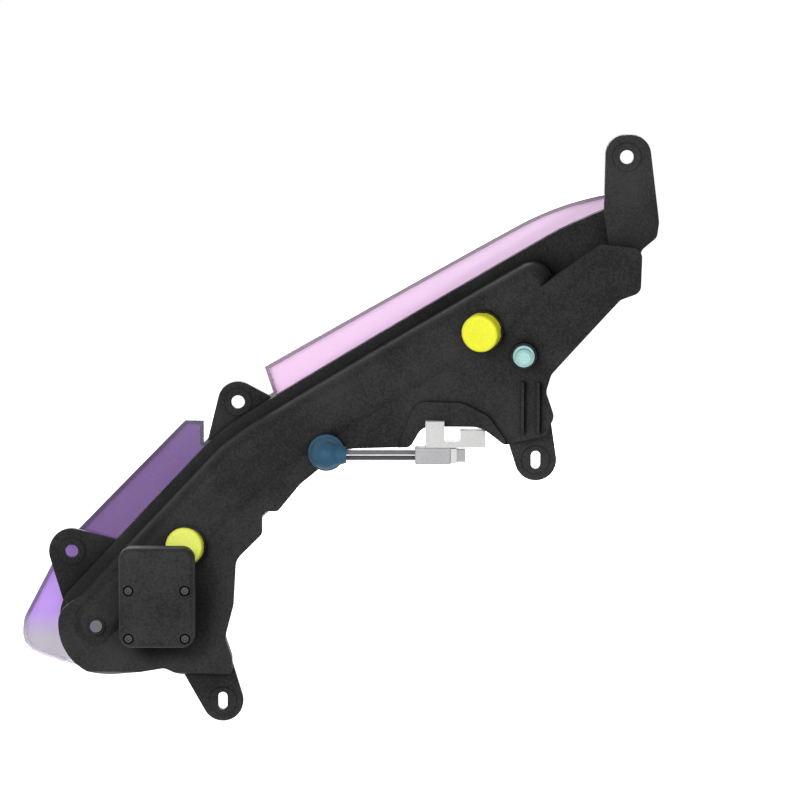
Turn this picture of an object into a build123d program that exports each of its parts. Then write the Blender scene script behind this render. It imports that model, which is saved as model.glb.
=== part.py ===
from build123d import *
from build123d.topology import SkipClean
import math
import os

os.makedirs("parts", exist_ok=True)

# Frame: origin on the rear seat of the middle tab's hole, X to the outboard end, Y to the front, Z up
# All sizes in millimetres

# Sweep of the lamp: the lens front is part of a large ring, curved in plan and crowned from top to bottom
PLAN_R = 1020.0
CROWN_R = 500.0
PLAN_X = -151.3
CROWN_Z = -20.0
FRONT_Y = 24.0
REACH = 190.0
CUT_SIZE = 900.0
SWEEP_START = 8.0
SWEEP_ANGLE = 38.0
CROWN_ANGLE = 19.0
LAP = 1.0

# Depths behind the lens front
LENS_WALL = 3.0
BEAD_DEPTH = 2.6
RIM_FRONT = 20.0
GROOVE_DEPTH = 7.0
RIM_FLOOR = 2.5
TUB_BACK = 58.0
APRON_STEP = 2.0
APRON_WALL = 3.0
LIP_DEPTH = 12.0

# Wall thicknesses and clearances
WALL = 2.5
RIM_WALL = 2.2
FOOT_WALL = 2.5
FOOT_GAP = 1.0
SEAL_FRONT = 22.0
BEAD_WIDTH = 2.4
LIP_WALL = 2.5
TUB_EDGE_R = 12.0
HOLLOW_EDGE_R = 8.0
END_WALL = 6.0

# Outline of the lens, corner by corner from the outboard tip over the top, with the rounding of each corner
LENS_POINTS = [(250.0, 140.6), (198.8, 128.6), (-23.2, -2.8), (-114.5, -96.0), (-137.5, -140.0),
               (-138.7, -158.0), (-86.0, -176.0), (38.7, -51.5), (176.7, 35.7), (250.0, 114.3)]
LENS_RADII = [10, 180, 160, 60, 16, 14, 20, 140, 60, 10]

# Outline of the housing rim, in the same order
RIM_POINTS = [(245.0, 136.8), (200.0, 114.5), (-9.6, -16.1), (-112.8, -125.4), (-112.8, -152.0),
              (-84.0, -169.0), (39.2, -47.5), (176.1, 40.5), (245.0, 113.4)]
RIM_RADII = [9, 120, 120, 23, 21, 19, 120, 60, 9]
TUB_END_X = 196.0

# Notch of the lens brow round the middle tab
NOTCH_POINTS = [(-40, -14), (-22.5, -14), (-22.5, -60), (22.5, -60), (22.5, 3), (3.5, 60), (-40, 60)]
NOTCH_EDGE = 1.0

# Outline of the apron below the trough, from its inboard end along the free edge
APRON_POINTS = [(-90.0, -114.0), (-112.0, -128.5), (-112.0, -173.5), (-45.0, -162.0), (-35.0, -166.0),
                (-2.2, -166.0), (-2.6, -155.0), (-7.0, -143.0), (-2.0, -124.0), (-0.5, -95.5), (16.0, -79.0),
                (16.0, -65.0), (26.0, -64.5), (40.0, -47.3), (67.4, -24.6), (108.5, -22.2), (116.0, -9.0),
                (152.0, -8.0), (167.0, -19.0), (191.9, -12.0), (197.0, 0.0), (191.8, 15.0), (195.0, 26.0),
                (236.0, 74.0), (248.0, 79.0), (248.5, 106.0), (225.0, 108.0), (150.0, 52.0), (20.0, -40.0),
                (-80.0, -130.0)]
APRON_RADII = [4, 12, 32, 6, 6, 4, 5, 6, 8, 12, 3, 3, 3, 6, 10, 5, 9, 16, 5, 4, 6, 8, 8, 6, 6, 6, 6, 6, 6, 6]

# Fixing tabs: hole, plate and raised seat
TAB_WALL = 4.0
TAB_SEAT = 1.0
TAB_SEAT_R = 8.4
TAB_HOLE_R = 4.2
TAB_R = 12.8
MIDDLE_TAB = (0.0, 0.0)
MIDDLE_TAB_Y = 0.0
MIDDLE_ROOTS = [(-19.5, -25.0), (21.0, 3.2), (12.0, -16.0)]
INBOARD_TAB = (-106.0, -95.5)
INBOARD_TAB_Y = 3.0
INBOARD_TAB_R = 14.4
INBOARD_ROOTS = [(-111.5, -127.0), (-77.0, -88.5), (-95.0, -115.0)]
ARM_TAB = (239.5, 160.7)
ARM_Y = -112.0
ARM_LIP = 9.0
ARM_POINTS = [(227.0, 174.0), (252.8, 174.0), (259.3, 121.0), (258.0, 112.0), (248.5, 104.0), (247.5, 92.0),
              (231.0, 92.0), (226.0, 128.0)]
ARM_RADII = [12, 12, 10, 5, 5, 4, 4, 10]
RIGHT_LEG_TAB = (185.8, -28.0)
RIGHT_LEG_Y = -75.5
RIGHT_LEG_ROOTS = [(168.0, -14.0), (172.0, 4.0), (194.0, 4.0), (193.0, -12.0)]
LEFT_LEG_TAB = (-8.5, -182.8)
LEFT_LEG_Y = -48.0
LEFT_LEG_ROOTS = [(-36.0, -160.0), (-30.0, -150.0), (-5.0, -150.0), (-4.0, -165.0)]
SLOT_R = 2.9
SLOT_TRAVEL = 5.4

# Vents on the rear wall
VENTS = {"outboard_vent_cap": (153.9, 52.6), "inboard_vent_cap": (-31.6, -87.3)}
VENT_PAD_R = 12.8
VENT_PAD = 2.0
VENT_CAP_R = 11.6
VENT_CAP_H = 9.0
VENT_CAP_WALL = 1.6
VENT_CAP_EDGE_R = 2.2
VENT_SLOTS = 4
VENT_SLOT = 1.2
VENT_SLOT_WIDTH = 4.0
SPIGOT_R = 5.0
SPIGOT_BORE_R = 3.0
SPIGOT_H = 6.2
MEMBRANE_T = 0.4
MEMBRANE_INSET = 0.5
SOCKET_GAP = 0.2

# Locating stud on the apron
STUD = (178.0, 37.5)
STUD_SEAT_Y = -89.0
STUD_BOSS_R = 8.0
STUD_BOSS_H = 12.0
STUD_BASE_R = 6.6
STUD_BASE = 2.0
STUD_R = 5.2
STUD_LENGTH = 12.0
STUD_CHAMFER = 1.6
STUD_SHANK_R = 2.5
STUD_SHANK = 5.0

# Lead: boot, two wires and their route
BOOT = (56.5, -26.5)
BOOT_SEAT_Y = -48.0
BOOT_BORE_R = 7.2
BOOT_FLANGE_R = 11.4
BOOT_FLANGE = 3.0
BOOT_FLANGE_EDGE_R = 1.0
BOOT_BODY_R = 9.0
BOOT_NOZZLE = 12.5
BOOT_PLUG = 8.0
BOOT_PLUG_GAP = 0.1
BOOT_NOZZLE_R = 5.0
BOOT_NOZZLE_ROOT_R = 8.5
TURRET_R = 11.0
TURRET_FRONT_Y = -20.0
LEAD_Y = -62.0
WIRE_R = 1.5
WIRE_PITCH = 3.3
WIRE_BEND = 8.0
WIRE_BEND_IN = 6.0
WIRE_RUN_IN = 19.0
WIRES = {"lead_wire_light": (0.5, -35.0), "lead_wire_dark": (-0.5, -29.5)}
WIRE_GAP = 0.05

# Connector parked under the arch of the apron
PLUG_X = 111.5
PLUG_LENGTH = 22.2
PLUG_WIDTH = 14.0
PLUG_HEIGHT = 10.6
PLUG_EDGE_R = 1.2
NOSE_LENGTH = 9.0
NOSE_INSET = 1.6
COLLAR = 3.6
COLLAR_PROUD = 0.9
WIRE_IN_PLUG = 6.0
TERMINAL = (7.0, 0.8, 2.8)
TERMINAL_SETBACK = 1.0
TERMINAL_SLOT = 0.2
TERMINAL_PITCH = 5.0

# Clip that carries the connector on the apron's edge
CLIP_X = (118.0, 155.0)
CLIP_BAR = 3.8
CLIP_BLOCK = (118.0, 129.6)
CLIP_BLOCK_TOP = -5.0
CLIP_JAW = (139.5, 155.0)
CLIP_JAW_TOP = -10.5
CLIP_REAR = 7.0

# Diffuser bar and the light engine behind it, all on one centre line
BAR_POINTS = [(174.0, 70.2), (4.5, -33.5), (-88.0, -131.0), (-88.0, -143.0)]
BAR_RADII = [120, 14]
BAR_HALF = 8.2
BAR_FRONT = 7.0
BAR_GAP = 0.4
BEZEL_FRONT = 9.0
BEZEL_WALL = 2.0
BEZEL_FLANGE = 7.4
BEZEL_INSET = 10.0
CUP_FRONT = 24.0
CUP_BACK = 38.0
BOARD_T = 1.0
BOARD_HALF = 7.0
SINK_T = 2.5
FIN_BACK = 50.0
FIN_T = 1.6
LED_COUNT = 15
LED_SIZE = 3.0
LED_H = 0.9
LED_GAP = 0.5
FIN_COUNT = 26
SINK_POSTS = (2, 5, 10, 14)
SINK_POST_R = 4.0
POST_GAP = 0.05
SCREW_R = 1.5
SCREW_HEAD_R = 3.2
SCREW_HEAD = 2.2
SCREW_GRIP = 8.0
FIN_CLEAR = 6.5
HEADER_AT = 0.4377
HEADER_SIZE = (15.0, 10.0, 10.0)
CUP_MOUTH = (16.0, 12.0)
CUP_THROAT = (7.0, 5.0)
CUP_FLOOR = 1.5
THREAD_GAP = 0.15

# Driver box at the inboard end
DRIVER_X = (-72.0, -25.0)
DRIVER_Z = (-146.0, -83.5)
DRIVER_BOX_TOP = -104.0
DRIVER_SEAT_Y = -58.0
DRIVER_COVER_H = 14.0
DRIVER_BOX_DEPTH = 40.0
DRIVER_EDGE_R = 4.0
DRIVER_POST_R = 3.8
DRIVER_SCREW_BORE = 10.0
DRIVER_SCREW_END = 2.0
DRIVER_SINK = 3.0
DRIVER_BOARD_Y = -51.0
DRIVER_BOARD_GAP = 0.5
DRIVER_LEDGES_X = (-62.0, -35.0)
GASKET_T = 1.0
DRIVER_CORNER_R = 8.0
DRIVER_WALL = 2.2
DRIVER_SCREW_INSET = 6.0
DRIVER_BOARD_T = 1.6
DRIVER_ROUND_PARTS = [((-52.0, -120.0), 6.0, 8.0), ((-42.0, -133.0), 3.2, 7.0), ((-51.0, -134.0), 3.2, 7.0)]
DRIVER_SQUARE_PARTS = [((-40.0, -116.0), (8.0, 8.0), 2.0), ((-61.0, -130.0), (5.0, 10.0), 6.0)]
OUTER_SCREW = (-87.5, -137.5)
OUTER_SCREW_R = 3.8
OUTER_BOSS_R = 5.2
OUTER_GRIP = 6.0
OUTER_INNER_BOSS = 4.0

# Raised band along the arch of the apron
ARCH_POINTS = [(98.0, -30.0), (112.0, 6.5), (141.0, 6.5), (157.0, -1.5), (168.0, -17.0), (160.0, -30.0)]
ARCH_RADII = [3, 10, 16, 12, 3, 3]
ARCH_BAND = 2.0

# Ribs on the apron above the right leg
LEG_RIBS_X = (177.5, 187.0)
LEG_RIB_Z = (-11.0, 21.0)
LEG_RIB = (1.8, 3.0)

plan_ring = PLAN_R - CROWN_R + math.sqrt(CROWN_R**2 - CROWN_Z**2)
PLAN_Y = FRONT_Y - math.sqrt(plan_ring**2 - PLAN_X**2)
RIM_BACK = RIM_FRONT + GROOVE_DEPTH + RIM_FLOOR
APRON_BACK = TUB_BACK - APRON_STEP
APRON_FRONT = APRON_BACK - APRON_WALL
GROOVE_WIDTH = FOOT_WALL + 2 * FOOT_GAP
TUB_INSET = RIM_WALL + GROOVE_WIDTH
CAVITY_INSET = TUB_INSET + WALL


def surface_y(x, z, depth):
    """Y of the surface that lies depth behind the lens front."""
    ring = PLAN_R - CROWN_R + math.sqrt((CROWN_R - depth)**2 - (z - CROWN_Z)**2)
    return PLAN_Y + math.sqrt(ring**2 - (x - PLAN_X)**2)


def seat(x, z, depth, turn=0.0):
    """Plane on that surface, its normal to the rear, its X turned from the outboard direction."""
    y = surface_y(x, z, depth)
    swing = math.atan2(x - PLAN_X, y - PLAN_Y)
    core_r = PLAN_R - CROWN_R
    core = Vector(PLAN_X + core_r * math.sin(swing), PLAN_Y + core_r * math.cos(swing), CROWN_Z)
    across = Vector(math.cos(swing), -math.sin(swing), 0)
    normal = (core - Vector(x, y, z)).normalized()
    angle = math.radians(turn)
    run = across * math.cos(angle) + normal.cross(across) * math.sin(angle)
    return Plane(origin=(x, y, z), x_dir=run, z_dir=normal)


def rear_plane(x, z, y):
    """Plane square to Y, its normal to the rear."""
    return Plane(origin=(x, y, z), x_dir=(1, 0, 0), z_dir=(0, -1, 0))


def layer(front, back):
    """Solid between the surfaces front and back mm behind the lens front."""
    start = math.radians(SWEEP_START)
    section = Plane(origin=(PLAN_X, PLAN_Y, CROWN_Z), x_dir=(-math.sin(start), math.cos(start), 0),
                    z_dir=(math.cos(start), math.sin(start), 0))
    core = (PLAN_R - CROWN_R, 0)
    outer = CenterArc(core, CROWN_R - front, -CROWN_ANGLE, 2 * CROWN_ANGLE)
    inner = CenterArc(core, CROWN_R - back, -CROWN_ANGLE, 2 * CROWN_ANGLE)
    ends = [Line(outer @ 0, inner @ 0), Line(outer @ 1, inner @ 1)]
    face = make_face([outer.edge(), inner.edge(), ends[0].edge(), ends[1].edge()])
    return revolve(section * face, Axis((PLAN_X, PLAN_Y, 0), (0, 0, -1)), SWEEP_ANGLE)


def outline(points, radii):
    """Closed outline of straight runs and arcs."""
    return make_face(FilletPolyline(*points, radius=radii, close=True))


def prism(shape):
    """Outline carried through the whole depth of the lamp."""
    return extrude(Plane.XZ * shape, amount=REACH, both=True)


def slab(shape, rear_y, thickness):
    """Flat plate of an outline, square to Y."""
    return extrude(Plane.XZ.offset(-rear_y) * shape, amount=-thickness)


def inset(distance):
    """Rim outline drawn in by a distance."""
    return offset(rim_outline, amount=-distance)


def ring(outer, inner):
    """Strip between two distances in from the rim outline."""
    return inset(outer) - inset(inner)


def bar_shape(half_width):
    """Round-ended strip on the centre line of the diffuser bar."""
    return make_face(offset(bar_line, amount=half_width, side=Side.BOTH).edges())


def rear_edges(solid):
    """Edges of the swept face furthest to the rear, and the sharp corners that run into it."""
    swept = solid.faces().filter_by(GeomType.TORUS).sort_by(Axis.Y)[0]
    corners = [edge for edge in solid.edges().filter_by(Axis.Y) if is_sharp(edge, solid)]
    return swept.edges() + corners


def is_sharp(edge, solid):
    """True where two flat faces meet."""
    sides = [face for face in solid.faces() if any(edge.is_same(other) for other in face.edges())]
    return all(face.geom_type == GeomType.PLANE for face in sides)


def inboard_of(x):
    """Everything inboard of a cross-cut."""
    return Pos(x - CUT_SIZE / 2, 0) * Rectangle(CUT_SIZE, CUT_SIZE)


def post(plane, radius, start, end):
    """Round post on a plane between two heights."""
    return extrude(plane.offset(start) * Circle(radius), amount=end - start)


def box_corners(xs, zs):
    """Corners of an upright rectangle."""
    return [(xs[1], zs[1]), (xs[0], zs[1]), (xs[0], zs[0]), (xs[1], zs[0])]


def upright(xs, ys, zs):
    """Box between two places on each axis."""
    size = (xs[1] - xs[0], ys[1] - ys[0], zs[1] - zs[0])
    return Pos(sum(xs) / 2, sum(ys) / 2, sum(zs) / 2) * Box(*size)


def block(xs, middle, width, height):
    """Box along X, centred on a place in Y and Z."""
    ys = (middle[0] - width / 2, middle[0] + width / 2)
    zs = (middle[1] - height / 2, middle[1] + height / 2)
    return upright(xs, ys, zs)


def group(solids):
    """Separate solids kept as one node."""
    return Compound(children=[Part(solid.wrapped) for solid in solids])


def bar_seat(share, depth):
    """Plane on the bar's centre line at a share of its length, its X along the line."""
    spot = bar_line @ share
    return seat(spot.X, spot.Y, depth, bar_line.tangent_angle_at(share))


def tab_plate(centre, roots, rear_y, radius):
    """Flat plate with a round end at its hole, drawn down to the root points, with a raised seat."""
    end = Pos(*centre) * Circle(radius)
    shape = make_hull(end.edges() + Polyline(*roots).edges())
    plate = slab(shape, rear_y + TAB_SEAT, TAB_WALL)
    return plate + slab(Pos(*centre) * Circle(TAB_SEAT_R), rear_y, TAB_SEAT + TAB_WALL / 2)


lens_outline = outline(LENS_POINTS, LENS_RADII)
rim_outline = outline(RIM_POINTS, RIM_RADII)
apron_outline = outline(APRON_POINTS, APRON_RADII)
bar_line = FilletPolyline(*BAR_POINTS, radius=BAR_RADII)
sink_back = CUP_BACK + BOARD_T + SINK_T
sink_shares = [gap / LED_COUNT for gap in SINK_POSTS]
sink_planes = [bar_seat(share, CUP_BACK) for share in sink_shares]
led_shares = [(index + 0.5) / LED_COUNT for index in range(LED_COUNT)]

parts = {}

# Lens: swept skin with a brow above the rim, a stiffening bead on its edge, a foot in the rim groove
notch = make_face(Polyline(*NOTCH_POINTS, close=True)) - offset(rim_outline, amount=NOTCH_EDGE)
brow = lens_outline - notch
foot_line = (RIM_WALL + FOOT_GAP, RIM_WALL + FOOT_GAP + FOOT_WALL)
foot_back = RIM_FRONT + GROOVE_DEPTH - FOOT_GAP
skin = prism(brow) & layer(0, LENS_WALL)
bead = prism(brow - offset(brow, amount=-BEAD_WIDTH)) & layer(LENS_WALL - LAP, LENS_WALL + BEAD_DEPTH)
foot = prism(ring(*foot_line)) & layer(LENS_WALL - LAP, foot_back)
parts["lens"] = skin + bead + foot

# Sealing bead that fills the rim groove round the lens foot
bead_space = prism(ring(RIM_WALL, TUB_INSET)) & layer(SEAL_FRONT, RIM_FRONT + GROOVE_DEPTH)
parts["lens_seal"] = bead_space - foot

# Housing shell: trough with rounded rear edges, grooved rim, apron tray with a stiffening lip
tub_shape = inset(TUB_INSET) & inboard_of(TUB_END_X)
tub = prism(tub_shape) & layer(RIM_BACK - LAP, TUB_BACK)
tub = fillet(rear_edges(tub), TUB_EDGE_R)
hollow_shape = inset(CAVITY_INSET) & inboard_of(TUB_END_X - END_WALL)
tub_hollow = prism(hollow_shape) & layer(RIM_FRONT, TUB_BACK - WALL)
tub_hollow = fillet(rear_edges(tub_hollow), HOLLOW_EDGE_R)
rim = prism(rim_outline) & layer(RIM_FRONT, RIM_BACK)
tray = prism(apron_outline) & layer(APRON_BACK - LIP_DEPTH, APRON_BACK)
tray -= prism(offset(apron_outline, amount=-LIP_WALL)) & layer(APRON_BACK - LIP_DEPTH - LAP, APRON_FRONT)

# Arm at the outboard end
arm_shape = outline(ARM_POINTS, ARM_RADII)
arm = slab(arm_shape, ARM_Y + TAB_SEAT, TAB_WALL)
arm += slab(arm_shape - offset(arm_shape, amount=-LIP_WALL), ARM_Y + TAB_SEAT, ARM_LIP)
arm += slab(Pos(*ARM_TAB) * Circle(TAB_SEAT_R), ARM_Y, TAB_SEAT + TAB_WALL / 2)

# Driver box walls on the rear of the trough
box_zs = (DRIVER_Z[0], DRIVER_BOX_TOP)
box_back = TUB_BACK + DRIVER_BOX_DEPTH
box_shape = outline(box_corners(DRIVER_X, box_zs), DRIVER_CORNER_R)
driver_spots = box_corners([DRIVER_X[0] + DRIVER_SCREW_INSET, DRIVER_X[1] - DRIVER_SCREW_INSET],
                           [box_zs[0] + DRIVER_SCREW_INSET, box_zs[1] - DRIVER_SCREW_INSET])
box_hollow = offset(box_shape, amount=-DRIVER_WALL)
box = slab(box_shape, DRIVER_SEAT_Y, DRIVER_BOX_DEPTH) & layer(APRON_FRONT + LAP, box_back)

with SkipClean():
    housing = tub + rim + tray + arm + box
    housing += tab_plate(MIDDLE_TAB, MIDDLE_ROOTS, MIDDLE_TAB_Y, TAB_R)
    housing += tab_plate(INBOARD_TAB, INBOARD_ROOTS, INBOARD_TAB_Y, INBOARD_TAB_R)
    housing += tab_plate(RIGHT_LEG_TAB, RIGHT_LEG_ROOTS, RIGHT_LEG_Y, TAB_R)
    housing += tab_plate(LEFT_LEG_TAB, LEFT_LEG_ROOTS, LEFT_LEG_Y, TAB_R)

    # Seats for the vents, the stud, the boot and the outer screw
    for place in VENTS.values():
        plane = seat(*place, TUB_BACK)
        housing += post(plane, VENT_PAD_R, -TUB_EDGE_R, VENT_PAD)
        housing += post(plane, SPIGOT_R, 0, VENT_PAD + SPIGOT_H)
    housing += post(rear_plane(*STUD, STUD_SEAT_Y), STUD_BOSS_R, -STUD_BOSS_H, 0)
    housing += post(rear_plane(*BOOT, BOOT_SEAT_Y), TURRET_R, BOOT_SEAT_Y - TURRET_FRONT_Y, 0)
    housing += post(seat(*OUTER_SCREW, TUB_BACK), OUTER_BOSS_R, -WALL / 2, VENT_PAD)

    # Raised band over the arch
    band_shape = outline(ARCH_POINTS, ARCH_RADII) & apron_outline
    housing += prism(band_shape) & layer(APRON_BACK - LAP, APRON_BACK + ARCH_BAND)

    # Ribs over the right leg
    for x in LEG_RIBS_X:
        rib = Pos(x, sum(LEG_RIB_Z) / 2) * Rectangle(LEG_RIB[0], LEG_RIB_Z[1] - LEG_RIB_Z[0])
        housing += prism(rib) & layer(APRON_BACK - LAP, APRON_BACK + LEG_RIB[1])

    # Hollows: rim front, groove, trough, driver box, boot bore and its port, holes
    housing -= prism(inset(RIM_WALL)) & layer(LENS_WALL, RIM_FRONT)
    housing -= prism(ring(RIM_WALL, TUB_INSET)) & layer(RIM_FRONT - LAP, RIM_FRONT + GROOVE_DEPTH)
    housing -= prism(inset(CAVITY_INSET)) & layer(RIM_FRONT - LAP, RIM_FRONT + GROOVE_DEPTH)
    housing -= tub_hollow
    housing -= prism(box_hollow) & layer(TUB_BACK, box_back)
    for place in VENTS.values():
        housing -= post(seat(*place, TUB_BACK), SPIGOT_BORE_R, -2 * WALL, VENT_PAD + SPIGOT_H + LAP)
    housing -= post(rear_plane(*STUD, STUD_SEAT_Y), STUD_SHANK_R, -STUD_SHANK, LAP)
    bore_end = BOOT_SEAT_Y - TURRET_FRONT_Y + WALL
    housing -= post(rear_plane(*BOOT, BOOT_SEAT_Y), BOOT_BORE_R, bore_end, LAP)
    for tab, tab_y in ((MIDDLE_TAB, MIDDLE_TAB_Y), (INBOARD_TAB, INBOARD_TAB_Y), (ARM_TAB, ARM_Y)):
        housing -= post(rear_plane(*tab, tab_y), TAB_HOLE_R, -2 * TAB_WALL, LAP)
    for tab, tab_y in ((RIGHT_LEG_TAB, RIGHT_LEG_Y), (LEFT_LEG_TAB, LEFT_LEG_Y)):
        slot = SlotCenterToCenter(SLOT_TRAVEL, 2 * SLOT_R, rotation=90)
        housing -= slab(Pos(*tab) * slot, tab_y - LAP, 3 * TAB_WALL)

    # Posts inside the trough for the heat sink and the outer screw, posts and ledges inside the driver box
    for plane in sink_planes:
        column = post(plane, SINK_POST_R, BOARD_T + SINK_T + POST_GAP, TUB_BACK - WALL - CUP_BACK + LAP)
        housing += column - post(plane, SCREW_R + THREAD_GAP, 0, BOARD_T + SINK_T + SCREW_GRIP + LAP)
    plane = seat(*OUTER_SCREW, TUB_BACK)
    housing += post(plane, OUTER_BOSS_R, -WALL - OUTER_INNER_BOSS, -WALL + LAP)
    housing -= post(plane, SCREW_R + THREAD_GAP, VENT_PAD - OUTER_GRIP - LAP, VENT_PAD + LAP)
    for spot in driver_spots:
        column = slab(Pos(*spot) * Circle(DRIVER_POST_R), DRIVER_SEAT_Y - GASKET_T, DRIVER_BOX_DEPTH)
        housing += column & layer(TUB_BACK - LAP, box_back)
        plane = rear_plane(*spot, DRIVER_SEAT_Y)
        housing -= post(plane, SCREW_R + THREAD_GAP, -DRIVER_SCREW_BORE, 2 * GASKET_T)
    for x in DRIVER_LEDGES_X:
        ledge = Pos(x, sum(box_zs) / 2) * Rectangle(WALL, box_zs[1] - box_zs[0] - 2 * DRIVER_CORNER_R)
        housing += slab(ledge, DRIVER_BOARD_Y, DRIVER_BOX_DEPTH) & layer(TUB_BACK - LAP, box_back)
parts["housing"] = housing

# Bezel: flange on the trough's edge, upright wall, front plate and a sleeve round the diffuser bar
window = bar_shape(BAR_HALF + BAR_GAP)
sleeve = bar_shape(BAR_HALF + BAR_GAP + BEZEL_WALL)
with SkipClean():
    bezel = prism(ring(BEZEL_FLANGE, BEZEL_INSET + BEZEL_WALL)) & layer(RIM_FRONT - BEZEL_WALL, RIM_FRONT)
    bezel += prism(ring(BEZEL_INSET, BEZEL_INSET + BEZEL_WALL)) & layer(BEZEL_FRONT, RIM_FRONT - LAP)
    bezel += prism(inset(BEZEL_INSET) - window) & layer(BEZEL_FRONT, BEZEL_FRONT + BEZEL_WALL)
    bezel += prism(sleeve - window) & layer(BEZEL_FRONT + LAP, CUP_FRONT)
parts["bezel"] = bezel

# Diffuser bar
parts["diffuser_bar"] = prism(bar_shape(BAR_HALF)) & layer(BAR_FRONT, CUP_FRONT)

# Cup reflector: pockets for the screw heads, one tapered cup and one opening for each LED
cups = prism(sleeve) & layer(CUP_FRONT, CUP_BACK)
pocket_side = 2 * (SCREW_HEAD_R + BAR_GAP)
opening_side = LED_SIZE + 2 * LED_GAP
for plane in sink_planes:
    cups -= extrude(plane.offset(LAP) * Rectangle(pocket_side, pocket_side), -SCREW_HEAD - BAR_GAP - LAP)
leds = []
for share in led_shares:
    mouth = bar_seat(share, CUP_FRONT)
    back = bar_seat(share, CUP_BACK)
    throat = back.offset(-CUP_FLOOR)
    cups -= loft([mouth.offset(-LAP) * Rectangle(*CUP_MOUTH), throat * Rectangle(*CUP_THROAT)])
    cups -= extrude(throat.offset(-LAP) * Rectangle(opening_side, opening_side), CUP_FLOOR + 2 * LAP)
    leds.append(extrude(back * Rectangle(LED_SIZE, LED_SIZE), -LED_H))
parts["cup_reflector"] = cups
parts["led_packages"] = group(leds)

# LED board on the heat sink, whose fins skip the posts and the header
board = prism(bar_shape(BOARD_HALF)) & layer(CUP_BACK, CUP_BACK + BOARD_T)
sink = prism(bar_shape(BAR_HALF)) & layer(CUP_BACK + BOARD_T, sink_back)
taken = [bar_line @ share for share in sink_shares] + [Vector(*OUTER_SCREW)]
for index in range(FIN_COUNT):
    share = (index + 0.5) / FIN_COUNT
    spot = bar_line @ share
    clear_of_posts = all((spot - other).length > FIN_CLEAR for other in taken)
    clear_of_header = (spot - bar_line @ HEADER_AT).length > HEADER_SIZE[0] / 2 + FIN_T
    if clear_of_posts and clear_of_header:
        place = Pos(spot.X, spot.Y) * Rot(0, 0, bar_line.tangent_angle_at(share))
        fin = prism(place * Rectangle(FIN_T, 2 * BOARD_HALF))
        sink += fin & layer(sink_back - SINK_T / 2, FIN_BACK)
screws = []
for plane in sink_planes:
    hole = post(plane, SCREW_R + THREAD_GAP, -LAP, BOARD_T + SINK_T + LAP)
    with SkipClean():
        board -= hole
        sink -= hole
    shank = post(plane, SCREW_R, -LAP, BOARD_T + SINK_T + SCREW_GRIP)
    screws.append(post(plane, SCREW_HEAD_R, -SCREW_HEAD, 0) + shank)
parts["led_board"] = board
parts["heat_sink"] = sink
parts["heat_sink_screws"] = group(screws)

# Wires of the lead: from the connector along the straight lead, round the boot's elbow and into the header
wall_run = (Vector(*RIM_POINTS[7]) - Vector(*RIM_POINTS[6])).normalized()
inward = Vector(-wall_run.Y, 0, wall_run.X)
wire_holes = {}
for name, (side, turn_y) in WIRES.items():
    z = BOOT[1] + side * WIRE_PITCH
    turn_point = Vector(BOOT[0], turn_y, z)
    plug_end = Vector(PLUG_X + WIRE_IN_PLUG, LEAD_Y, z)
    elbow = Vector(BOOT[0], LEAD_Y, z)
    header_end = turn_point + inward * WIRE_RUN_IN
    route = FilletPolyline(plug_end, elbow, turn_point, header_end, radius=[WIRE_BEND, WIRE_BEND_IN])
    start = Plane(route @ 0, z_dir=route % 0)
    parts[name] = sweep(start * Circle(WIRE_R), path=route)
    wire_holes[name] = sweep(start * Circle(WIRE_R + WIRE_GAP), path=route)
both_wires = wire_holes["lead_wire_light"] + wire_holes["lead_wire_dark"]

# Header on the heat sink that takes the wires
header = extrude(bar_seat(HEADER_AT, sink_back) * Rectangle(*HEADER_SIZE[:2]), HEADER_SIZE[2])
parts["board_header"] = header - sink - both_wires

# Rubber boot: flange, plug, domed elbow and nozzle
boot_plane = rear_plane(*BOOT, BOOT_SEAT_Y)
flange = fillet(post(boot_plane, BOOT_FLANGE_R, 0, BOOT_FLANGE).edges(), BOOT_FLANGE_EDGE_R)
boot = flange + post(boot_plane, BOOT_BORE_R - BOOT_PLUG_GAP, -BOOT_PLUG, LAP)
boot += post(boot_plane, BOOT_BODY_R, BOOT_FLANGE - LAP, BOOT_SEAT_Y - LEAD_Y)
boot += Pos(BOOT[0], LEAD_Y, BOOT[1]) * Sphere(BOOT_BODY_R)
nozzle = Plane(origin=(BOOT[0], LEAD_Y, BOOT[1]), x_dir=(0, 1, 0), z_dir=(1, 0, 0))
boot += nozzle * Pos(0, 0, BOOT_NOZZLE / 2) * Cone(BOOT_NOZZLE_ROOT_R, BOOT_NOZZLE_R, BOOT_NOZZLE)
parts["lead_boot"] = boot - both_wires

# Connector: body with a nose, white retainer round the nose, two terminals
plug_middle = (LEAD_Y, BOOT[1])
body = block((PLUG_X, PLUG_X + PLUG_LENGTH), plug_middle, PLUG_WIDTH, PLUG_HEIGHT)
body = fillet(body.edges(), PLUG_EDGE_R)
plug_end = PLUG_X + PLUG_LENGTH
nose_end = plug_end + NOSE_LENGTH
nose_size = (PLUG_WIDTH - 2 * NOSE_INSET, PLUG_HEIGHT - 2 * NOSE_INSET)
nose = block((plug_end - LAP, nose_end), plug_middle, *nose_size)
collar_size = (nose_size[0] + 2 * COLLAR_PROUD, nose_size[1] + 2 * COLLAR_PROUD)
collar = block((plug_end, plug_end + COLLAR), plug_middle, *collar_size)
terminal_end = nose_end - TERMINAL_SETBACK
terminal_start = terminal_end - TERMINAL[0]
slot_size = (TERMINAL[1] + 2 * TERMINAL_SLOT, TERMINAL[2] + 2 * TERMINAL_SLOT)
terminals = []
slots = []
for side in (-0.5, 0.5):
    place = (LEAD_Y + side * TERMINAL_PITCH, BOOT[1])
    terminals.append(block((terminal_start, terminal_end), place, TERMINAL[1], TERMINAL[2]))
    slots.append(block((terminal_start, nose_end + LAP), place, *slot_size))
parts["connector_body"] = body + nose - slots[0] - slots[1] - both_wires
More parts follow.
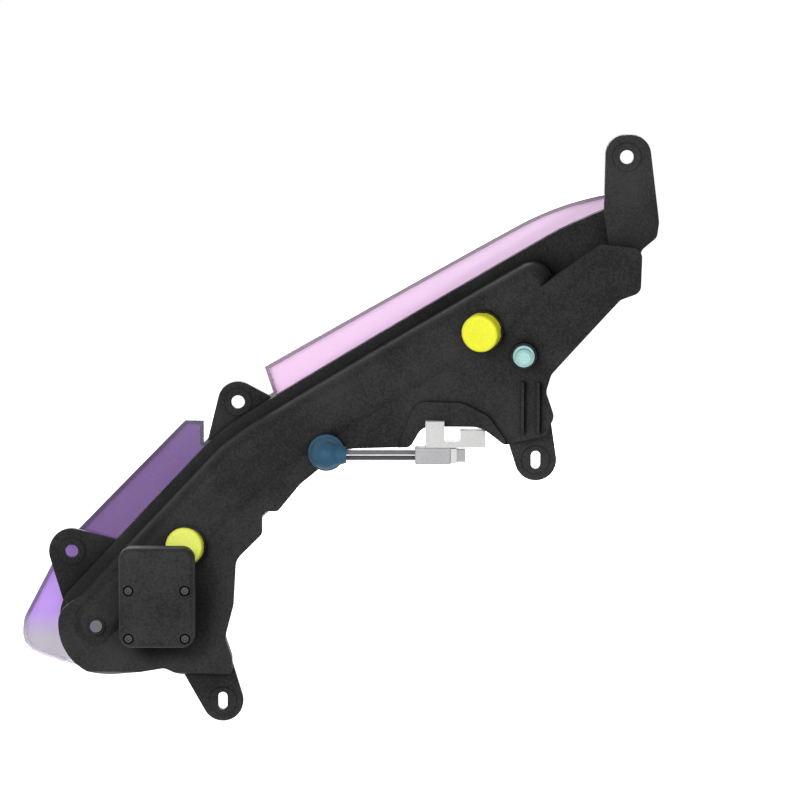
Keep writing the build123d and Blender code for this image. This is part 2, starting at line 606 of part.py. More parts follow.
parts["connector_retainer"] = collar - nose
parts["connector_terminals"] = group(terminals)

# Clip: bar on the connector, a block behind the apron's edge and a jaw under its lip
plug_top = BOOT[1] + PLUG_HEIGHT / 2
clip_ys = (LEAD_Y - CLIP_REAR, LEAD_Y + CLIP_REAR)
clip = upright(CLIP_X, clip_ys, (plug_top, plug_top + CLIP_BAR))
clip_space = layer(APRON_FRONT + LAP, TUB_BACK + CLIP_REAR)
clip += upright(CLIP_BLOCK, clip_ys, (plug_top, CLIP_BLOCK_TOP)) & clip_space
clip += upright(CLIP_JAW, clip_ys, (plug_top, CLIP_JAW_TOP))
parts["connector_clip"] = clip - housing

# Vent caps on their spigots, with a membrane on each spigot
membranes = []
for name, place in VENTS.items():
    plane = seat(*place, TUB_BACK).offset(VENT_PAD)
    cap = post(plane, VENT_CAP_R, 0, VENT_CAP_H)
    cap = fillet(cap.edges().sort_by(Axis(plane.origin, plane.z_dir))[-1], VENT_CAP_EDGE_R)
    cap -= post(plane, VENT_CAP_R - VENT_CAP_WALL, -LAP, VENT_CAP_H - VENT_CAP_WALL)
    cap += post(plane, SPIGOT_R + SOCKET_GAP + VENT_CAP_WALL, VENT_SLOT, VENT_CAP_H - LAP)
    cap -= post(plane, SPIGOT_R + SOCKET_GAP, -LAP, VENT_CAP_H - VENT_CAP_WALL)
    for index in range(VENT_SLOTS):
        slot = Pos(VENT_CAP_R, 0, 0) * Box(4 * VENT_CAP_WALL, VENT_SLOT_WIDTH, 2 * VENT_SLOT)
        cap -= plane * Rot(0, 0, index * 360 / VENT_SLOTS) * slot
    parts[name] = cap
    membranes.append(post(plane, SPIGOT_R - MEMBRANE_INSET, SPIGOT_H, SPIGOT_H + MEMBRANE_T))
parts["vent_membranes"] = group(membranes)

# Locating stud
stud_plane = rear_plane(*STUD, STUD_SEAT_Y)
pin = post(stud_plane, STUD_R, STUD_BASE - LAP, STUD_BASE + STUD_LENGTH)
pin = chamfer(pin.edges().sort_by(Axis.Y)[0], STUD_CHAMFER)
stud = post(stud_plane, STUD_BASE_R, 0, STUD_BASE) + pin
parts["locating_stud"] = stud + post(stud_plane, STUD_SHANK_R - THREAD_GAP, -STUD_SHANK, LAP)

# Driver: gasket, board with its parts, cover that overhangs the inboard vent, cover screws
cover_y = DRIVER_SEAT_Y - GASKET_T
walls = box_shape - box_hollow
gasket_shape = walls
board_shape = offset(box_hollow, amount=-DRIVER_BOARD_GAP)
for spot in driver_spots:
    gasket_shape -= Pos(*spot) * Circle(DRIVER_POST_R + THREAD_GAP)
    board_shape -= Pos(*spot) * Circle(DRIVER_POST_R + DRIVER_BOARD_GAP)
parts["driver_gasket"] = slab(gasket_shape, cover_y, GASKET_T)
parts["driver_board"] = slab(board_shape, DRIVER_BOARD_Y - DRIVER_BOARD_T, DRIVER_BOARD_T)
board_top = DRIVER_BOARD_Y - DRIVER_BOARD_T
driver_parts = []
for place, radius, height in DRIVER_ROUND_PARTS:
    driver_parts.append(extrude(rear_plane(*place, board_top) * Circle(radius), height))
for place, sides, height in DRIVER_SQUARE_PARTS:
    driver_parts.append(extrude(rear_plane(*place, board_top) * Rectangle(*sides), height))
parts["driver_components"] = group(driver_parts)
cover_shape = outline(box_corners(DRIVER_X, DRIVER_Z), DRIVER_CORNER_R)
cover_back = cover_y - DRIVER_COVER_H
cover = slab(cover_shape, cover_back, DRIVER_COVER_H)
cover = fillet(cover.faces().sort_by(Axis.Y)[0].edges(), DRIVER_EDGE_R)
cover -= slab(offset(cover_shape, amount=-DRIVER_WALL) - walls, cover_back + DRIVER_WALL, DRIVER_COVER_H)
cover_screws = []
head_y = cover_back + DRIVER_SINK
screw_end = DRIVER_SEAT_Y + DRIVER_SCREW_BORE - DRIVER_SCREW_END
for spot in driver_spots:
    place = Pos(*spot)
    cover += slab(place * Circle(DRIVER_POST_R), cover_back + LAP, DRIVER_COVER_H - LAP)
    cover -= slab(place * Circle(SCREW_HEAD_R + THREAD_GAP), head_y - 2 * DRIVER_SINK, 2 * DRIVER_SINK)
    cover -= slab(place * Circle(SCREW_R + THREAD_GAP), head_y - LAP, 2 * DRIVER_COVER_H)
    shank = slab(place * Circle(SCREW_R), head_y - LAP, screw_end - head_y + LAP)
    cover_screws.append(slab(place * Circle(SCREW_HEAD_R), head_y - SCREW_HEAD, SCREW_HEAD) + shank)
parts["driver_cover"] = cover
parts["driver_cover_screws"] = group(cover_screws)

# Outer screw beside the driver box
plane = seat(*OUTER_SCREW, TUB_BACK).offset(VENT_PAD)
shank = post(plane, SCREW_R, -OUTER_GRIP, LAP)
parts["outer_screw"] = post(plane, OUTER_SCREW_R, 0, SCREW_HEAD) + shank

for name, shape in parts.items():
    export_step(shape, f"parts/{name}.step")
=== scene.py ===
import math

import bpy
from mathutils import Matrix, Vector


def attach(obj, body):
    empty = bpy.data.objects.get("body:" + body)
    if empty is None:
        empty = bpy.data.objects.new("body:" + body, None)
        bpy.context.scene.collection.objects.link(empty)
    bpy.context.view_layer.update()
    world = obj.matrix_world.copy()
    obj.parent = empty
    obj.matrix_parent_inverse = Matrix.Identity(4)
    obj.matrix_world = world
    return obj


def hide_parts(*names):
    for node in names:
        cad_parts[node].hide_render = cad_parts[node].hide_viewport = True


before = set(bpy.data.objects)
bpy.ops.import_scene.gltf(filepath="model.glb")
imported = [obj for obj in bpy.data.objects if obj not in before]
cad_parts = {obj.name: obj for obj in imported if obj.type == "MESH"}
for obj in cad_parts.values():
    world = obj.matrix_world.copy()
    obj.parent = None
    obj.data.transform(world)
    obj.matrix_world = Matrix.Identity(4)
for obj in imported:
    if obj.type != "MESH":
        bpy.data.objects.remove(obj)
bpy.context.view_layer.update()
scene = bpy.context.scene
MM = 0.001


def linear(code):
    """sRGB hex code as a linear colour."""
    shares = [int(code[start:start + 2], 16) / 255 for start in (0, 2, 4)]
    return [share / 12.92 if share <= 0.04045 else ((share + 0.055) / 1.055) ** 2.4
            for share in shares] + [1.0]


def add(tree, kind, inputs=None, stops=(), **settings):
    """Adds a node: settings are its properties, an input that is a socket is linked and any other is set.

    Stops are pairs of a position and an sRGB hex code, for a node that has a colour ramp.
    """
    node = tree.nodes.new(kind)
    for name, value in settings.items():
        setattr(node, name, value)
    for key, value in (inputs or {}).items():
        if isinstance(value, bpy.types.NodeSocket):
            tree.links.new(value, node.inputs[key])
        else:
            node.inputs[key].default_value = value
    if stops:
        elements = node.color_ramp.elements
        while len(elements) < len(stops):
            elements.new(1.0)
        for element, (position, code) in zip(elements, stops):
            element.position = position
            element.color = linear(code)
    return node


def begin(name):
    """New material with an empty tree and the place on the object in metres."""
    material = bpy.data.materials.new(name)
    material.use_nodes = True
    tree = material.node_tree
    tree.nodes.clear()
    return material, tree, add(tree, "ShaderNodeTexCoord").outputs["Object"]


def per_metre(size_mm):
    """Scale of a pattern whose cells are size_mm across."""
    return 1.0 / (size_mm * MM)


# Moulded surfaces: spacing of the flow marks, their part in the mottled colour, swing of the roughness
# and strength of the grain's relief
FLOW_MM = 45
FLOW_PART = 0.5
MOULDED_SWING = 0.07
GRAIN_RELIEF = 0.35

# Painted shade in sheltered corners: how open a place is where the shade is full and where it ends, and the
# full shade
PAINTED_SHADE_SPAN = (0.35, 0.9)
PAINTED_SHADE_DEEPEST = 0.2


def moulded(name, dark, light, roughness, grain_mm, depth_mm, painted_corner_shade_mm=0.0, **extra):
    """Injection-moulded plastic or rubber: flow marks and fine grain of the tool in its colour and relief.

    Given a shelter distance, corners closer than that to other walls get painted shade and stay blacker than
    the open faces.
    """
    material, tree, place = begin(name)
    flow = add(tree, "ShaderNodeTexNoise", {"Vector": place, "Scale": per_metre(FLOW_MM), "Detail": 3.0,
                                            "Roughness": 0.6})
    grain = add(tree, "ShaderNodeTexNoise", {"Vector": place, "Scale": per_metre(grain_mm), "Detail": 4.0})
    flow_marks = add(tree, "ShaderNodeMath", {0: flow.outputs["Fac"], 1: FLOW_PART}, operation="MULTIPLY")
    mottle = add(tree, "ShaderNodeMath", {0: grain.outputs["Fac"], 1: 1.0 - FLOW_PART,
                                          2: flow_marks.outputs["Value"]}, operation="MULTIPLY_ADD")
    colour = add(tree, "ShaderNodeValToRGB", {"Fac": mottle.outputs["Value"]},
                 stops=[(0.4, dark), (0.6, light)]).outputs["Color"]
    # Painted shade: ambient occlusion darkens the colour in sheltered corners
    if painted_corner_shade_mm:
        open_share = add(tree, "ShaderNodeAmbientOcclusion", {"Distance": painted_corner_shade_mm * MM}, samples=8,
                         only_local=True)
        painted_corner_shade = add(tree, "ShaderNodeMapRange", {"Value": open_share.outputs["AO"],
                                                "From Min": PAINTED_SHADE_SPAN[0], "From Max": PAINTED_SHADE_SPAN[1],
                                                "To Min": PAINTED_SHADE_DEEPEST, "To Max": 1.0})
        colour = add(tree, "ShaderNodeVectorMath", {0: colour, "Scale": painted_corner_shade.outputs["Result"]},
                     operation="SCALE").outputs["Vector"]
    rough = add(tree, "ShaderNodeMapRange", {"Value": grain.outputs["Fac"],
                                             "To Min": roughness - MOULDED_SWING,
                                             "To Max": roughness + MOULDED_SWING})
    bump = add(tree, "ShaderNodeBump", {"Height": grain.outputs["Fac"], "Strength": GRAIN_RELIEF,
                                        "Distance": depth_mm * MM})
    sockets = {"Base Color": colour, "Roughness": rough.outputs["Result"], "Normal": bump.outputs["Normal"]}
    sockets.update(extra)
    shader = add(tree, "ShaderNodeBsdfPrincipled", sockets)
    add(tree, "ShaderNodeOutputMaterial", {"Surface": shader.outputs["BSDF"]})
    return material


# Metals: how much shorter a streak is upright than across, and swing of the roughness
STREAK_STRETCH = 6.0
METAL_SWING = 0.06


def metal(name, dark, light, roughness, streak_mm):
    """Bare or plated metal: streaks left by rolling, drawing or turning."""
    material, tree, place = begin(name)
    stretch = add(tree, "ShaderNodeMapping", {"Vector": place, "Scale": (1.0, 1.0, STREAK_STRETCH)})
    streaks = add(tree, "ShaderNodeTexNoise", {"Vector": stretch.outputs["Vector"],
                                               "Scale": per_metre(streak_mm), "Detail": 3.0})
    colour = add(tree, "ShaderNodeValToRGB", {"Fac": streaks.outputs["Fac"]},
                 stops=[(0.3, dark), (0.7, light)]).outputs["Color"]
    rough = add(tree, "ShaderNodeMapRange", {"Value": streaks.outputs["Fac"],
                                             "To Min": roughness - METAL_SWING,
                                             "To Max": roughness + METAL_SWING})
    shader = add(tree, "ShaderNodeBsdfPrincipled", {"Base Color": colour, "Metallic": 1.0,
                                                    "Roughness": rough.outputs["Result"]})
    add(tree, "ShaderNodeOutputMaterial", {"Surface": shader.outputs["BSDF"]})
    return material


# Sweep of the lens front, which is part of a ring: bend in plan, crown from top to bottom, centre
PLAN_R = 1020 * MM
CROWN_R = 500 * MM
RING_CENTRE = (-151.3 * MM, -984.311 * MM, -20 * MM)

# Edge bead of the lens: depths behind the lens front and how dark it is painted, for its greater thickness
# and as painted shade along the lens edge
BEAD_FRONT = 3.2 * MM
BEAD_BACK = 6.2 * MM
BEAD_PAINTED_SHADE = 0.2

# Tints of the brow and of the clear window at shares of the lens's reach along X, from the inboard end;
# lilac, violet and rosy are painted light and shade
LENS_REACH = (-140 * MM, 250 * MM)
BROW_LIT_AND_SHADED_TINTS = [(0.06, "c69cf2"), (0.11, "775592"), (0.30, "70508e"), (0.41, "ffdcfe"), (0.9, "ffe6ff")]
WINDOW_LIT_AND_SHADED_TINTS = [(0.06, "e6d2fa"), (0.3, "d9c4ea"), (0.41, "fbe6fb")]

# Pale foot of the inboard end, a painted highlight and shade: its tint and the heights between which it comes
# in
FOOT_HIGHLIGHT_AND_SHADE_TINT = "c6bfcc"
PAINTED_FOOT_HEIGHTS = (-136 * MM, -152 * MM)

# Distances below the rim edge between which the brow turns into the window, and how much light each passes
WINDOW_EDGE = (1 * MM, 9 * MM)
BROW_CLEAR = 0.55
WINDOW_CLEAR = 0.85

# Surface of the polycarbonate: refraction, least and most roughness and spacing of its faint flow marks
POLYCARBONATE_IOR = 1.58
LENS_ROUGHNESS = (0.08, 0.16)
LENS_FLOW_MM = 30

# Upper edge of the housing rim in X and Z, corner by corner from the outboard end, in millimetres.
# The lens brow stands above it.
RIM_EDGE = [(245.0, 136.8), (-9.6, -16.1), (-112.8, -125.4), (-112.8, -152.0)]


def behind_lens_front(tree, place):
    """Depth in metres behind the swept front of the lens."""
    arm = add(tree, "ShaderNodeVectorMath", {0: place, 1: RING_CENTRE},
              operation="SUBTRACT").outputs["Vector"]
    level = add(tree, "ShaderNodeVectorMath", {0: arm, 1: (1.0, 1.0, 0.0)},
                operation="MULTIPLY").outputs["Vector"]
    reach = add(tree, "ShaderNodeVectorMath", {0: level}, operation="LENGTH").outputs["Value"]
    over = add(tree, "ShaderNodeMath", {0: reach, 1: PLAN_R - CROWN_R},
               operation="SUBTRACT").outputs["Value"]
    height = add(tree, "ShaderNodeSeparateXYZ", {"Vector": arm}).outputs["Z"]
    spoke = add(tree, "ShaderNodeCombineXYZ", {"X": over, "Z": height}).outputs["Vector"]
    span = add(tree, "ShaderNodeVectorMath", {0: spoke}, operation="LENGTH").outputs["Value"]
    return add(tree, "ShaderNodeMath", {0: CROWN_R, 1: span}, operation="SUBTRACT").outputs["Value"]


def below_rim_edge(tree, place):
    """Distance in metres below the upper edge of the housing rim."""
    nearest = None
    for (x0, z0), (x1, z1) in zip(RIM_EDGE, RIM_EDGE[1:]):
        run = Vector((x1 - x0, z1 - z0)).normalized()
        inward = Vector((-run.y, 0.0, run.x))
        start = (inward.x * x0 + inward.z * z0) * MM
        along = add(tree, "ShaderNodeVectorMath", {0: place, 1: inward},
                    operation="DOT_PRODUCT").outputs["Value"]
        inside = add(tree, "ShaderNodeMath", {0: along, 1: start}, operation="SUBTRACT").outputs["Value"]
        nearest = inside if nearest is None else add(tree, "ShaderNodeMath", {0: nearest, 1: inside},
                                                     operation="MINIMUM").outputs["Value"]
    return nearest


def tinted_lens():
    """Tinted polycarbonate: clear over the light bar, cloudier on the brow, whose lilac, violet and rosy
    bands are painted light and shade.
    """
    material, tree, place = begin("tinted_polycarbonate_lens")
    axes = add(tree, "ShaderNodeSeparateXYZ", {"Vector": place}).outputs
    along = add(tree, "ShaderNodeMapRange", {"Value": axes["X"], "From Min": LENS_REACH[0],
                                             "From Max": LENS_REACH[1]}).outputs["Result"]
    # Painted light and shade: the brow's and window's tints change along X
    brow = add(tree, "ShaderNodeValToRGB", {"Fac": along}, stops=BROW_LIT_AND_SHADED_TINTS).outputs["Color"]
    clear = add(tree, "ShaderNodeValToRGB", {"Fac": along}, stops=WINDOW_LIT_AND_SHADED_TINTS).outputs["Color"]
    # Painted highlight and shade: the lower inboard end turns pale grey
    painted_foot_share = add(tree, "ShaderNodeMapRange", {"Value": axes["Z"], "From Min": PAINTED_FOOT_HEIGHTS[0],
                                            "From Max": PAINTED_FOOT_HEIGHTS[1]}).outputs["Result"]
    window = add(tree, "ShaderNodeMapRange", {"Value": below_rim_edge(tree, place),
                                              "From Min": WINDOW_EDGE[0],
                                              "From Max": WINDOW_EDGE[1]}).outputs["Result"]
    tint = add(tree, "ShaderNodeMix", {0: window, 6: brow, 7: clear}, data_type="RGBA")
    # The bead along the edge is thicker than the skin and is painted darker, partly for that and partly as
    # painted shade along the lens edge
    depth = behind_lens_front(tree, place)
    past_skin = add(tree, "ShaderNodeMath", {0: depth, 1: BEAD_FRONT}, operation="GREATER_THAN")
    before_foot = add(tree, "ShaderNodeMath", {0: depth, 1: BEAD_BACK}, operation="LESS_THAN")
    painted_bead_mask = add(tree, "ShaderNodeMath", {0: past_skin.outputs["Value"], 1: before_foot.outputs["Value"]},
               operation="MULTIPLY")
    bead_painted_shade = add(tree, "ShaderNodeMapRange", {"Value": painted_bead_mask.outputs["Value"], "To Min": 1.0,
                                             "To Max": BEAD_PAINTED_SHADE})
    painted_bead_shade_tint = add(tree, "ShaderNodeVectorMath", {0: tint.outputs[2], "Scale": bead_painted_shade.outputs["Result"]},
                 operation="SCALE")
    colour = add(tree, "ShaderNodeMix", {0: painted_foot_share, 6: painted_bead_shade_tint.outputs["Vector"], 7: linear(FOOT_HIGHLIGHT_AND_SHADE_TINT)},
                 data_type="RGBA")
    passes = add(tree, "ShaderNodeMapRange", {"Value": window, "To Min": BROW_CLEAR, "To Max": WINDOW_CLEAR})
    flow = add(tree, "ShaderNodeTexNoise", {"Vector": place, "Scale": per_metre(LENS_FLOW_MM), "Detail": 2.0})
    rough = add(tree, "ShaderNodeMapRange", {"Value": flow.outputs["Fac"], "To Min": LENS_ROUGHNESS[0],
                                             "To Max": LENS_ROUGHNESS[1]})
    shader = add(tree, "ShaderNodeBsdfPrincipled", {"Base Color": colour.outputs[2],
                                                    "IOR": POLYCARBONATE_IOR,
                                                    "Roughness": rough.outputs["Result"],
                                                    "Transmission Weight": passes.outputs["Result"]})
    add(tree, "ShaderNodeOutputMaterial", {"Surface": shader.outputs["BSDF"]})
    return material


# Grained mouldings and drawn insulation throw back little mirror light
DULL = {"Specular IOR Level": 0.1}

# A moulded finish gives its dark and light colour, roughness, and the width and depth of its grain in
# millimetres, and a metal its colours, roughness and width of streaks. The real grain is about 0.3 mm wide.
# It is drawn several times as coarse, so that it shows in the picture.
finishes = {
    # Polypropylene with a fine spark-eroded grain: dark, dull, with soft broad highlights, and painted shade
    # in corners within 22 mm of other walls
    "housing": moulded("black_polypropylene_housing", "191919", "313132", 0.5, 1.5, 0.3, 22.0, **DULL),
    # The cover's tool is polished a little more, and its black is painted a little lighter than the
    # housing's: a painted highlight on the raised cover
    "driver_cover": moulded("black_polypropylene_cover", "1c1c1d", "333334", 0.48, 1.5, 0.25, **DULL),
    "lens": tinted_lens(),
    # Butyl sealing bead: soft black mass with a dull skin
    "lens_seal": moulded("butyl_sealing_bead", "161617", "1c1c1d", 0.7, 2.0, 0.15),
    # Metallised satin moulding round the light bar
    "bezel": metal("metallised_satin_bezel", "6a6a6e", "7a7a7e", 0.32, 8.0),
    # Opal acrylic: milky white that evens out the light
    "diffuser_bar": moulded("opal_acrylic_diffuser", "ededec", "f6f6f5", 0.3, 3.0, 0.02,
                            **{"Transmission Weight": 0.15, "IOR": 1.49}),
    # Bright vacuum metallising in the reflector cups
    "cup_reflector": metal("metallised_bright_reflector", "c4c4c8", "d6d6d9", 0.12, 10.0),
    # Silicone with yellow phosphor over each LED
    "led_packages": moulded("phosphor_silicone_led", "e8c83c", "f2d85a", 0.35, 1.0, 0.02),
    # White solder mask on an aluminium-cored board
    "led_board": moulded("white_solder_mask_board", "dcdcd8", "e8e8e4", 0.4, 1.2, 0.01),
    # Extruded aluminium with its die lines
    "heat_sink": metal("extruded_aluminium_sink", "a0a1a3", "b4b5b7", 0.38, 1.5),
    # Zinc-plated steel: bluish grey with a soft shine
    "heat_sink_screws": metal("zinc_plated_steel_screws", "8c8f93", "a3a6a9", 0.32, 0.8),
    # Drawn insulation of the two wires: even grey with a dull skin
    "lead_wire_light": moulded("light_grey_wire_insulation", "6a666b", "77727a", 0.55, 1.2, 0.02, **DULL),
    "lead_wire_dark": moulded("dark_grey_wire_insulation", "434146", "504e53", 0.55, 1.2, 0.02, **DULL),
    # Moulded polyamide: off-white and satin
    "board_header": moulded("white_polyamide_header", "dcdad4", "e6e4de", 0.45, 0.9, 0.03),
    # Silicone rubber: deep blue, satin, with a soft edge sheen
    "lead_boot": moulded("blue_silicone_boot", "1e4a64", "28566f", 0.5, 1.4, 0.03,
                         **{"Sheen Weight": 0.08, "Specular IOR Level": 0.25}),
    # Polyamide connector parts: pale grey and white with a satin skin; the white retainer and clip are given
    # a light grey that is painted shade
    "connector_body": moulded("grey_polyamide_connector", "a2a2a4", "b2b2b4", 0.45, 0.9, 0.03),
    "connector_retainer": moulded("white_polyamide_retainer", "ccccca", "d8d8d6", 0.42, 0.9, 0.03),
    "connector_clip": moulded("white_polyamide_clip", "c4c4c2", "d0d0ce", 0.42, 0.9, 0.03),
    # Tinned brass: pale yellow with a soft shine
    "connector_terminals": metal("tinned_brass_terminals", "b8a878", "cabb8c", 0.3, 0.8),
    # Polypropylene breather caps, yellow right through, smooth from a polished tool; the inboard cap's paler
    # yellow is painted light on the same material
    "outboard_vent_cap": moulded("yellow_polypropylene_cap", "e4e51a", "eeee2c", 0.4, 1.6, 0.02),
    "inboard_vent_cap": moulded("yellow_polypropylene_cap_inboard", "dfe848", "e8ee58", 0.4, 1.6, 0.02),
    # Porous film: chalky white without a shine
    "vent_membranes": moulded("porous_white_membrane", "e6e6e4", "f2f2f0", 0.8, 0.6, 0.05),
    # Acetal stud: pale green, slightly waxy
    "locating_stud": moulded("pale_green_acetal_stud", "9ac8c6", "a8d4d2", 0.38, 1.2, 0.02,
                             **{"Subsurface Weight": 0.1, "Subsurface Scale": 1.5 * MM}),
    # Foam cut from sheet: black and dull
    "driver_gasket": moulded("black_foam_gasket", "121213", "1a1a1b", 0.85, 0.7, 0.12),
    # Green solder mask on glass and epoxy: satin
    "driver_board": moulded("green_circuit_board", "1f5a34", "276a3e", 0.4, 1.0, 0.01),
    # Moulded epoxy round chips and coils: dark grey and matt
    "driver_components": moulded("dark_component_housings", "242428", "303036", 0.5, 0.8, 0.03),
    # Black and dark zinc plating on steel: dark greys with a soft shine
    "driver_cover_screws": metal("black_zinc_cover_screws", "3a3b3d", "46474a", 0.4, 0.8),
    "outer_screw": metal("dark_zinc_plated_screw", "404346", "4c5054", 0.45, 0.8),
}
for name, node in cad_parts.items():
    node.data.materials.clear()
    node.data.materials.append(finishes[name])


# Screw head: lobes of its drive, then its flat top, the drive's inner corners and their rounding as parts
# of the radii
LOBES = 6
CROWN_PART = 0.72
LOBE_PART = 0.72
LOBE_ROUNDING = 0.18


def screw_tree():
    """Node tree that puts a lobed-drive screw on every point, its head facing along an axis."""
    tree = bpy.data.node_groups.new("lobed_drive_screws", "GeometryNodeTree")
    interface = tree.interface
    interface.new_socket("Geometry", in_out="OUTPUT", socket_type="NodeSocketGeometry")
    interface.new_socket("Points", in_out="INPUT", socket_type="NodeSocketGeometry")
    for name in ("Head Radius", "Head Height", "Drive Radius", "Drive Depth", "Shank Radius", "Shank Length"):
        interface.new_socket(name, in_out="INPUT", socket_type="NodeSocketFloat")
    interface.new_socket("Axis", in_out="INPUT", socket_type="NodeSocketVector")
    interface.new_socket("Finish", in_out="INPUT", socket_type="NodeSocketMaterial")
    given = add(tree, "NodeGroupInput").outputs
    crown = add(tree, "ShaderNodeMath", {0: given["Head Radius"], 1: CROWN_PART},
                operation="MULTIPLY").outputs[0]
    head = add(tree, "GeometryNodeMeshCone", {"Vertices": 48, "Side Segments": 1, "Fill Segments": 1,
                                              "Radius Top": crown, "Radius Bottom": given["Head Radius"],
                                              "Depth": given["Head Height"]})
    lobe = add(tree, "ShaderNodeMath", {0: given["Drive Radius"], 1: LOBE_PART},
               operation="MULTIPLY").outputs[0]
    star = add(tree, "GeometryNodeCurveStar", {"Points": LOBES, "Inner Radius": lobe,
                                               "Outer Radius": given["Drive Radius"]})
    round_r = add(tree, "ShaderNodeMath", {0: given["Drive Radius"], 1: LOBE_ROUNDING},
                  operation="MULTIPLY").outputs[0]
    soft = add(tree, "GeometryNodeFilletCurve", {"Curve": star.outputs["Curve"], "Count": 3,
                                                 "Radius": round_r}, mode="POLY")
    floor_z = add(tree, "ShaderNodeMath", {0: given["Head Height"], 1: given["Drive Depth"]},
                  operation="SUBTRACT")
    low = add(tree, "ShaderNodeCombineXYZ", {"Z": floor_z.outputs[0]}).outputs[0]
    above = add(tree, "ShaderNodeMath", {0: given["Head Height"], 1: given["Drive Depth"]}, operation="ADD")
    high = add(tree, "ShaderNodeCombineXYZ", {"Z": above.outputs[0]}).outputs[0]
    drop = add(tree, "GeometryNodeCurvePrimitiveLine", {"Start": low, "End": high})
    recess = add(tree, "GeometryNodeCurveToMesh", {"Curve": drop.outputs["Curve"],
                                                   "Profile Curve": soft.outputs["Curve"], "Fill Caps": True})
    cut = add(tree, "GeometryNodeMeshBoolean", {"Mesh 1": head.outputs["Mesh"],
                                                "Mesh 2": recess.outputs["Mesh"]},
              operation="DIFFERENCE", solver="EXACT")
    shank = add(tree, "GeometryNodeMeshCylinder", {"Vertices": 24, "Radius": given["Shank Radius"],
                                                   "Depth": given["Shank Length"]})
    half = add(tree, "ShaderNodeMath", {0: given["Shank Length"], 1: -0.5}, operation="MULTIPLY").outputs[0]
    shift = add(tree, "ShaderNodeCombineXYZ", {"Z": half}).outputs[0]
    sunk = add(tree, "GeometryNodeTransform", {"Geometry": shank.outputs["Mesh"], "Translation": shift})
    screw = add(tree, "GeometryNodeJoinGeometry")
    for part in (cut.outputs["Mesh"], sunk.outputs["Geometry"]):
        tree.links.new(part, screw.inputs["Geometry"])
    facing = add(tree, "FunctionNodeAlignRotationToVector", {"Vector": given["Axis"]}, axis="Z")
    placed = add(tree, "GeometryNodeInstanceOnPoints", {"Points": given["Points"],
                                                        "Instance": screw.outputs["Geometry"],
                                                        "Rotation": facing.outputs["Rotation"]})
    real = add(tree, "GeometryNodeRealizeInstances", {"Geometry": placed.outputs["Instances"]})
    finished = add(tree, "GeometryNodeSetMaterial", {"Geometry": real.outputs["Geometry"],
                                                     "Material": given["Finish"]})
    add(tree, "NodeGroupOutput", {"Geometry": finished.outputs["Geometry"]})
    return tree


def screws(tree, name, seats_mm, sizes_mm, axis, finish):
    """Screws of one size with their head seats at the given points."""
    points = bpy.data.meshes.new(name + "_seats")
    points.from_pydata([[value * MM for value in seat] for seat in seats_mm], [], [])
    holder = bpy.data.objects.new(name + "_points", points)
    scene.collection.objects.link(holder)
    modifier = holder.modifiers.new("screws", "NODES")
    modifier.node_group = tree
    values = {label: size * MM for label, size in sizes_mm.items()}
    values.update({"Axis": axis, "Finish": finish})
    for item in tree.interface.items_tree:
        if item.in_out == "INPUT" and item.name in values:
            modifier[item.identifier] = values[item.name]
    bpy.context.view_layer.update()
    mesh = bpy.data.meshes.new_from_object(holder.evaluated_get(bpy.context.evaluated_depsgraph_get()))
    bpy.data.objects.remove(holder)
    piece = bpy.data.objects.new(name, mesh)
    scene.collection.objects.link(piece)
    return piece


# Screws of the driver cover: depth and corners of their seats, and their sizes, in millimetres
SEAT_Y = -70.0
SEAT_X = (-66.0, -31.0)
SEAT_Z = (-140.0, -110.0)
drive_screws = screw_tree()
cover_seats = [(x, SEAT_Y, z) for x in SEAT_X for z in SEAT_Z]
cover_sizes = {"Head Radius": 3.2, "Head Height": 2.2, "Drive Radius": 1.7, "Drive Depth": 1.3,
               "Shank Radius": 1.5, "Shank Length": 20.0}
cover_screws = screws(drive_screws, "cover_screws", cover_seats, cover_sizes, (0.0, -1.0, 0.0),
                      finishes["driver_cover_screws"])
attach(cover_screws, "root")
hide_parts("driver_cover_screws")


def seen_white(tree):
    """1 on rays that show the backdrop, straight, mirrored or through the lens, and 0 on those that light."""
    rays = add(tree, "ShaderNodeLightPath").outputs
    either = add(tree, "ShaderNodeMath", {0: rays["Is Camera Ray"], 1: rays["Is Transmission Ray"]},
                 operation="MAXIMUM")
    return add(tree, "ShaderNodeMath", {0: either.outputs[0], 1: rays["Is Glossy Ray"]},
               operation="MAXIMUM").outputs[0]


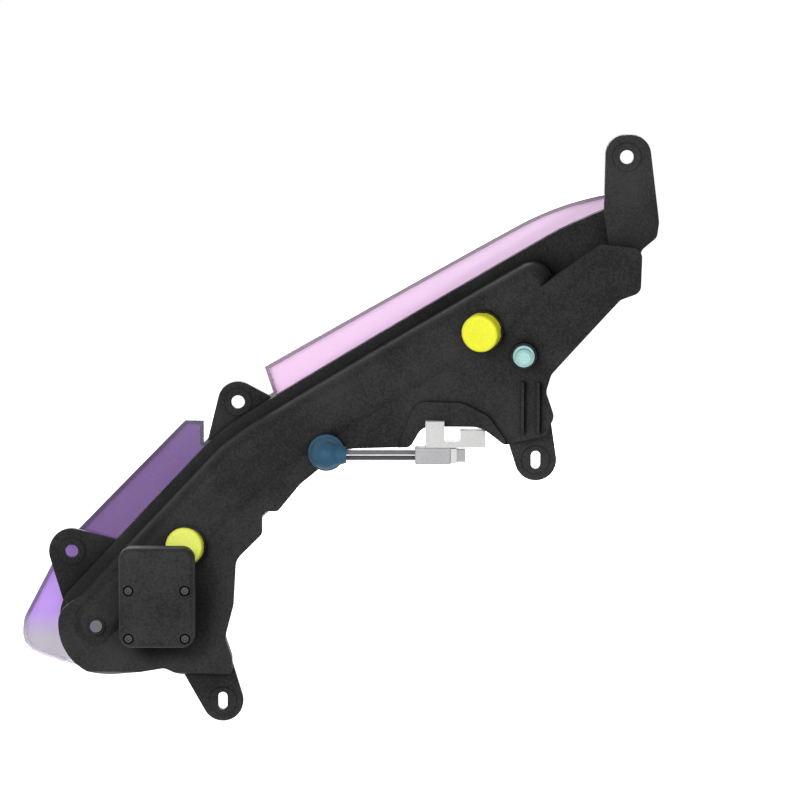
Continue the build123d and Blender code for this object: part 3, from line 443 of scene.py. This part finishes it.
# Pale floor well below the lamp and a pale world round it, which both read as white to the camera
FLOOR_Z = -0.285
FLOOR_HALF = 6
FLOOR_GLOW = 0.8
WORLD_LEVEL = 0.35
floor_mesh = bpy.data.meshes.new("floor")
floor_corners = [(x * FLOOR_HALF, y * FLOOR_HALF, FLOOR_Z) for x, y in ((-1, -1), (1, -1), (1, 1), (-1, 1))]
floor_mesh.from_pydata(floor_corners, [], [(0, 1, 2, 3)])
floor = bpy.data.objects.new("floor", floor_mesh)
scene.collection.objects.link(floor)
paper, paper_tree, _ = begin("white_paper_floor")
matt = add(paper_tree, "ShaderNodeBsdfDiffuse", {"Color": linear("f4f4f4")})
glow_level = add(paper_tree, "ShaderNodeMath", {0: seen_white(paper_tree), 1: FLOOR_GLOW},
                 operation="MULTIPLY")
glow = add(paper_tree, "ShaderNodeEmission", {"Color": linear("ffffff"), "Strength": glow_level.outputs[0]})
sheet = add(paper_tree, "ShaderNodeAddShader", {0: matt.outputs["BSDF"], 1: glow.outputs["Emission"]})
add(paper_tree, "ShaderNodeOutputMaterial", {"Surface": sheet.outputs["Shader"]})
floor_mesh.materials.append(paper)

world = bpy.data.worlds.new("studio")
scene.world = world
world.use_nodes = True
sky = world.node_tree
sky.nodes.clear()
level = add(sky, "ShaderNodeMapRange", {"Value": seen_white(sky), "To Min": WORLD_LEVEL, "To Max": 1.0})
dome = add(sky, "ShaderNodeBackground", {"Color": linear("ffffff"), "Strength": level.outputs["Result"]})
add(sky, "ShaderNodeOutputWorld", {"Surface": dome.outputs["Background"]})


def softbox(name, place, target, size, watts):
    """Square soft light that looks at a point."""
    data = bpy.data.lights.new(name, "AREA")
    data.size = size
    data.energy = watts
    lamp = bpy.data.objects.new(name, data)
    lamp.location = place
    lamp.rotation_euler = (Vector(target) - Vector(place)).to_track_quat("-Z", "Y").to_euler()
    scene.collection.objects.link(lamp)


# Two soft lights on the photograph's side, which the lens mirrors away from the camera, and one beyond
MIDDLE = (0.06, -0.04, -0.01)
softbox("front_key", (0.8, -2.5, 0.5), MIDDLE, 1.2, 20)
softbox("front_fill", (-1.0, -2.2, 0.9), MIDDLE, 0.8, 24)
softbox("far_side_light", (0.3, 2.3, 0.9), MIDDLE, 1.6, 34)

# Camera square to the rear of the lamp and a little above it, far away as in the photograph
camera_data = bpy.data.cameras.new("camera")
camera_data.lens = 216.0
camera_data.sensor_width = 36.0
camera = bpy.data.objects.new("camera", camera_data)
camera.location = (0.10225, -3.01357, 0.31799)
camera.rotation_euler = (math.radians(84.0), 0.0, 0.0)
scene.collection.objects.link(camera)
scene.camera = camera
scene.view_settings.view_transform = "Standard"
